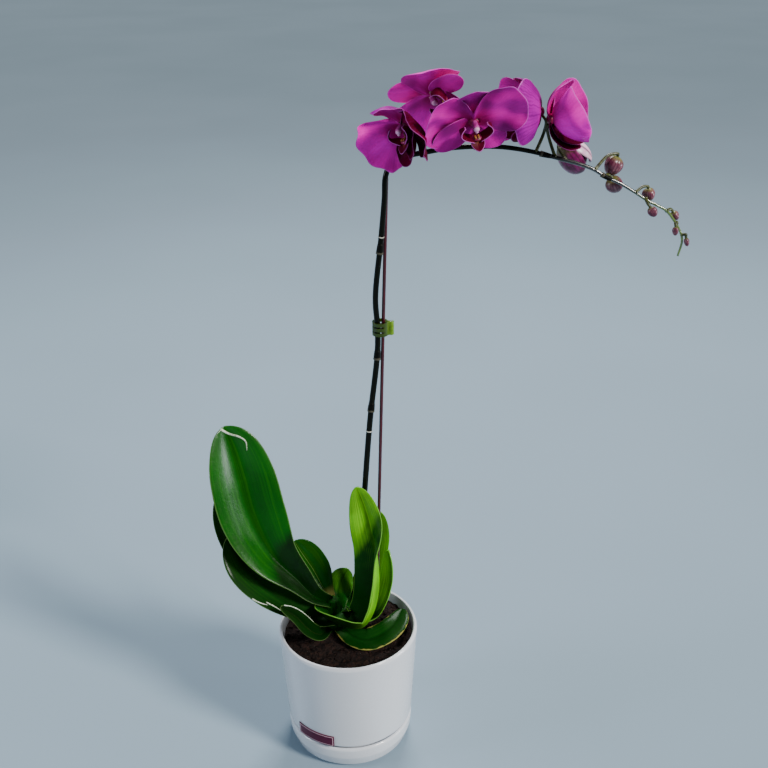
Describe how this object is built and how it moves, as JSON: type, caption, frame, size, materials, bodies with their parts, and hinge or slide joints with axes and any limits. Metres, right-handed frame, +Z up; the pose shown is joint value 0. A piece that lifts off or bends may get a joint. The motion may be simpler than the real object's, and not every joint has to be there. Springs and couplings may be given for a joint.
{
  "type": "potted moth orchid",
  "caption": "Moth orchid in a round glazed pot on a saucer, with an arching spike of open flowers and buds, a stake and a hinged claw clip.",
  "frame": {"origin": "centre of the saucer's underside, where the plant stands", "axes": "+Z up; +X to the right as the picture sees it, the way the flower spike arches; +Y away from the viewer"},
  "size_m": [0.4008, 0.13, 0.6334],
  "materials": {
    "glaze": "white gloss glaze",
    "maroon_vinyl": "satin sticker with a pale inset line",
    "bark": "damp, rough bark and coir",
    "crown_green": "matte, leathery leaf bases",
    "maroon_plastic": "satin coated rod",
    "leaf_green": "glossy, leathery, dark green",
    "young_leaf_green": "glossy, leathery, light green",
    "stem_green": "smooth, semi-gloss, very dark green",
    "magenta_petal": "soft satin petal with fine veins",
    "crimson_lip": "waxy crimson",
    "white_column": "waxy white and pink",
    "bud_pink": "waxy, pink with green seams",
    "clip_plastic": "translucent yellow-green plastic",
    "pin_steel": "plain steel"
  },
  "bodies": {
    "plant": {"pot": "glaze", "saucer": "glaze", "label": "maroon_vinyl", "potting_mix": "bark", "crown": "crown_green", "stake": "maroon_plastic", "leaf_left_tall": "leaf_green", "leaf_left_back": "leaf_green", "leaf_left_under": "leaf_green", "leaf_left_inner": "leaf_green", "leaf_left_low": "leaf_green", "leaf_right_tall": "young_leaf_green", "leaf_right_outer": "young_leaf_green", "leaf_right_inner": "young_leaf_green", "leaf_right_back": "young_leaf_green", "leaf_right_low": "young_leaf_green", "spike": "stem_green", "bloom_1_perianth": "magenta_petal", "bloom_1_lip": "crimson_lip", "bloom_1_column": "white_column", "bloom_2_perianth": "magenta_petal", "bloom_2_lip": "crimson_lip", "bloom_2_column": "white_column", "bloom_3_perianth": "magenta_petal", "bloom_3_lip": "crimson_lip", "bloom_3_column": "white_column", "bloom_4_perianth": "magenta_petal", "bloom_4_lip": "crimson_lip", "bloom_4_column": "white_column", "bloom_5_perianth": "magenta_petal", "bloom_5_lip": "crimson_lip", "bloom_5_column": "white_column", "bud_1": "bud_pink", "bud_2": "bud_pink", "bud_3": "bud_pink", "bud_4": "bud_pink", "bud_5": "bud_pink", "bud_6": "bud_pink", "bud_7": "bud_pink", "bud_opening": "bud_pink", "clip_jaw_fixed": "clip_plastic", "clip_pin": "pin_steel"},
    "clip_jaw": {"clip_jaw_moving": "clip_plastic"}
  },
  "joints": [
    {"name": "clip_hinge", "type": "hinge", "parent": "plant", "child": "clip_jaw", "pos_m": [0.0427, 0.0071, 0.424], "axis": [0, 0, 1], "range_deg": [0, 28], "stiffness_Nm_per_rad": 0.02, "springref_deg": -20.05}
  ]
}
